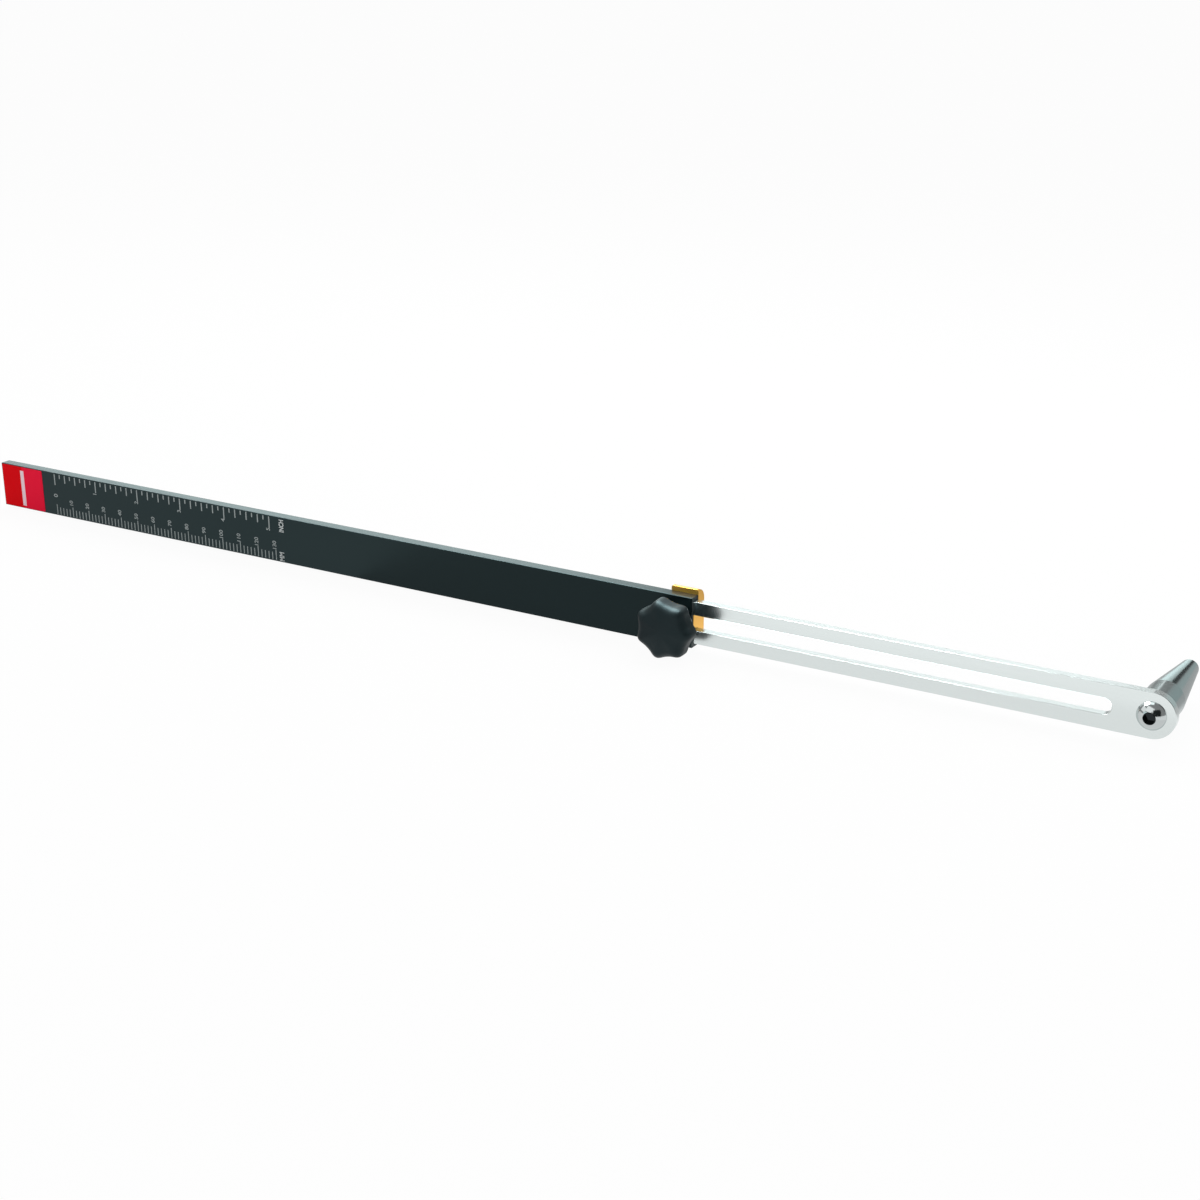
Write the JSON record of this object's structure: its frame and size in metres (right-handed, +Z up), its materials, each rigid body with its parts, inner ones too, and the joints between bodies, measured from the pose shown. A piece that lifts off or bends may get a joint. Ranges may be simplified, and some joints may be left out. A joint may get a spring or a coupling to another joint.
{
  "type": "suspension sag scale",
  "caption": "Sliding scale for measuring motorcycle suspension sag: slotted arm with a tapered axle pin, clamped by a knob in a graduated channel bar.",
  "frame": {"origin": "on the axle pin's axis, at the arm's back face, where the pin's base starts", "axes": "+X along the bar from its labelled end towards the pin, +Y the way the pin points, away from the graduated face, +Z up across the bar, towards the inch scale"},
  "size_m": [0.5549, 0.0671, 0.0242],
  "materials": {
    "arm_aluminium": "bright brushed",
    "pin_steel": "polished",
    "screw_steel": "satin",
    "bar_aluminium": "black anodised, satin",
    "line_fill": "matt filled lines",
    "label_vinyl": "glossy",
    "block_aluminium": "gold anodised, satin",
    "bolt_steel": "zinc plated",
    "knob_plastic": "satin moulded",
    "insert_brass": "turned"
  },
  "bodies": {
    "arm": {"slotted_arm": "arm_aluminium", "axle_pin": "pin_steel", "pin_screw": "screw_steel"},
    "scale": {"scale_bar": "bar_aluminium", "mm_lines": "line_fill", "inch_lines": "line_fill", "end_label": "label_vinyl", "clamp_block": "block_aluminium", "clamp_bolt": "bolt_steel"},
    "washer": {"knob_washer": "bolt_steel"},
    "knob": {"knob_body": "knob_plastic", "knob_insert": "insert_brass"}
  },
  "joints": [
    {"name": "bar_slide", "type": "slide", "parent": "arm", "child": "scale", "axis": [1, 0, 0], "range_m": [-0.0298, 0.1612]},
    {"name": "knob_travel", "type": "slide", "parent": "scale", "child": "washer", "axis": [0, -1, 0], "range_m": [0, 0.003]},
    {"name": "knob_turn", "type": "hinge", "parent": "washer", "child": "knob", "pos_m": [-0.184, -0.0136, 0], "axis": [0, -1, 0], "range_deg": [0, 1080]}
  ],
  "couplings": [
    {"joint": "knob_turn", "follows": "knob_travel", "rad_per_m": 6283.2}
  ]
}
